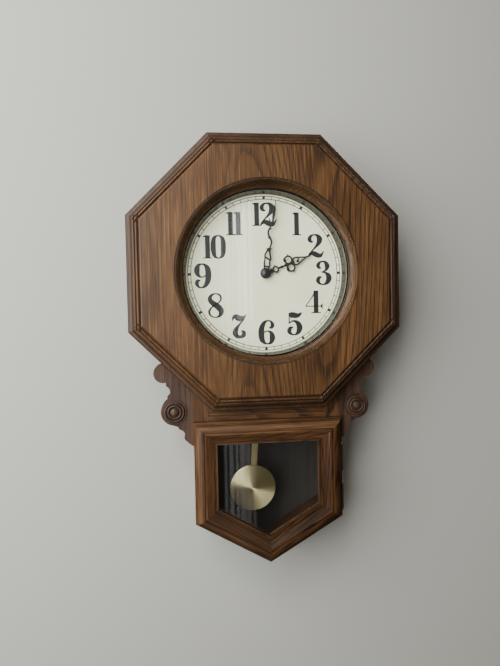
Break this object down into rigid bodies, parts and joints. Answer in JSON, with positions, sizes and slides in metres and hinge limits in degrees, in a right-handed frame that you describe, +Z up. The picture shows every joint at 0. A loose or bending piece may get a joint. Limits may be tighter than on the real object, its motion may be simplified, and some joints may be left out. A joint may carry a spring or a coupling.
{
  "type": "pendulum wall clock",
  "caption": "Schoolhouse wall clock: octagonal oak front hinged over a round numbered dial, scroll brackets, and a pointed drop box whose glazed door shows a swinging pendulum.",
  "frame": {"origin": "centre of the hanger's round hole, on the wall plane", "axes": "+X to the viewer's right, +Y into the wall, +Z up"},
  "size_m": [0.42, 0.125, 0.6649],
  "materials": {
    "oak": "medium brown stained oak under satin varnish",
    "dark_oak": "dark brown stained oak, satin",
    "plywood": "plain birch plywood, unvarnished",
    "glass": "clear flat glass",
    "dial_enamel": "cream dial with dark printed figures and minute track",
    "brass": "polished brass, slightly dulled",
    "pendulum_brass": "pale brass, brushed in circles",
    "black_metal": "black enamel, satin",
    "steel": "plain zinc-plated steel",
    "black_plastic": "matt moulded plastic",
    "circuit_green": "green solder mask",
    "copper_coil": "enamelled copper wire",
    "battery_jacket": "plain blue jacket",
    "gear_plastic": "natural acetal"
  },
  "bodies": {
    "case": {"drum_top": "oak", "drum_left": "oak", "drum_right": "oak", "drum_bottom_boards": "oak", "box_left_side": "oak", "box_right_side": "oak", "box_bottom_left": "oak", "box_bottom_right": "oak", "face_left_stile": "oak", "face_right_stile": "oak", "throat_rail": "oak", "left_scroll_bracket": "dark_oak", "right_scroll_bracket": "dark_oak", "bracket_rosettes": "dark_oak", "back_panel": "plywood", "access_cover": "black_plastic", "hanger_plate": "steel", "case_screws": "steel", "case_hinge_leaves": "brass", "hinge_pins": "brass", "catch_magnets": "steel", "dial_board": "plywood", "dial_plate": "dial_enamel", "dial_ring": "brass", "movement_front_case": "black_plastic", "movement_back_case": "black_plastic", "movement_bushing": "brass", "bushing_nut": "brass", "circuit_board": "circuit_green", "motor_coil": "copper_coil", "motor_stator": "steel", "pendulum_coil": "copper_coil", "battery": "battery_jacket"},
    "octagon_door": {"octagon_frame": "oak", "bezel_glass": "glass", "glass_retaining_ring": "dark_oak", "octagon_hinge_leaves": "brass"},
    "lower_door": {"door_top_rail": "oak", "door_left_stile": "oak", "door_right_stile": "oak", "door_lower_left_rail": "oak", "door_lower_right_rail": "oak", "door_glass": "glass", "door_glass_stops": "dark_oak", "door_hinge_leaves": "brass"},
    "minute_arbor": {"centre_wheel": "gear_plastic", "minute_hand": "black_metal", "hand_nut": "black_metal"},
    "hour_pipe": {"hour_wheel": "gear_plastic", "hour_hand": "black_metal"},
    "motion_wheel": {"minute_wheel": "gear_plastic"},
    "third_arbor": {"third_wheel": "gear_plastic"},
    "seconds_arbor": {"seconds_wheel": "gear_plastic"},
    "intermediate_arbor": {"intermediate_wheel": "gear_plastic"},
    "rotor": {"motor_rotor": "gear_plastic"},
    "setting_shaft": {"set_knob": "gear_plastic"},
    "pendulum": {"pendulum_hanger": "gear_plastic", "drive_magnet": "steel", "pendulum_rod": "pendulum_brass", "pendulum_bob": "pendulum_brass"}
  },
  "joints": [
    {"name": "octagon_door_hinge", "type": "hinge", "parent": "case", "child": "octagon_door", "pos_m": [0.1485, -0.1005, -0.105], "axis": [0, 0, 1], "range_deg": [0, 92]},
    {"name": "lower_door_hinge", "type": "hinge", "parent": "case", "child": "lower_door", "pos_m": [0.1193, -0.0865, -0.4315], "axis": [0, 0, 1], "range_deg": [0, 95]},
    {"name": "minute_turn", "type": "hinge", "parent": "case", "child": "minute_arbor", "pos_m": [0, -0.09, -0.105], "axis": [0, 1, 0], "continuous": true},
    {"name": "hour_turn", "type": "hinge", "parent": "case", "child": "hour_pipe", "pos_m": [0, -0.092, -0.105], "axis": [0, 1, 0], "continuous": true},
    {"name": "motion_wheel_turn", "type": "hinge", "parent": "case", "child": "motion_wheel", "pos_m": [0.005, -0.073, -0.11366], "axis": [0, 1, 0], "continuous": true},
    {"name": "third_turn", "type": "hinge", "parent": "case", "child": "third_arbor", "pos_m": [-0.01559, -0.067, -0.096], "axis": [0, 1, 0], "continuous": true},
    {"name": "seconds_turn", "type": "hinge", "parent": "case", "child": "seconds_arbor", "pos_m": [-0.01707, -0.065, -0.11294], "axis": [0, 1, 0], "continuous": true},
    {"name": "intermediate_turn", "type": "hinge", "parent": "case", "child": "intermediate_arbor", "pos_m": [-0.01812, -0.063, -0.12489], "axis": [0, 1, 0], "continuous": true},
    {"name": "rotor_turn", "type": "hinge", "parent": "case", "child": "rotor", "pos_m": [-0.02782, -0.062, -0.13049], "axis": [0, 1, 0], "continuous": true},
    {"name": "setting_turn", "type": "hinge", "parent": "case", "child": "setting_shaft", "pos_m": [0.01025, -0.07, -0.12275], "axis": [0, 1, 0], "continuous": true},
    {"name": "pendulum_swing", "type": "hinge", "parent": "case", "child": "pendulum", "pos_m": [0, -0.055, -0.135], "axis": [0, 1, 0], "range_deg": [-13, 5]}
  ],
  "couplings": [
    {"joint": "hour_turn", "follows": "minute_turn", "ratio": 0.083333},
    {"joint": "motion_wheel_turn", "follows": "minute_turn", "ratio": -0.33333},
    {"joint": "third_turn", "follows": "minute_turn", "ratio": -8},
    {"joint": "seconds_turn", "follows": "minute_turn", "ratio": 60},
    {"joint": "intermediate_turn", "follows": "minute_turn", "ratio": -300},
    {"joint": "rotor_turn", "follows": "minute_turn", "ratio": 1800},
    {"joint": "setting_turn", "follows": "minute_turn", "ratio": 0.83333}
  ]
}
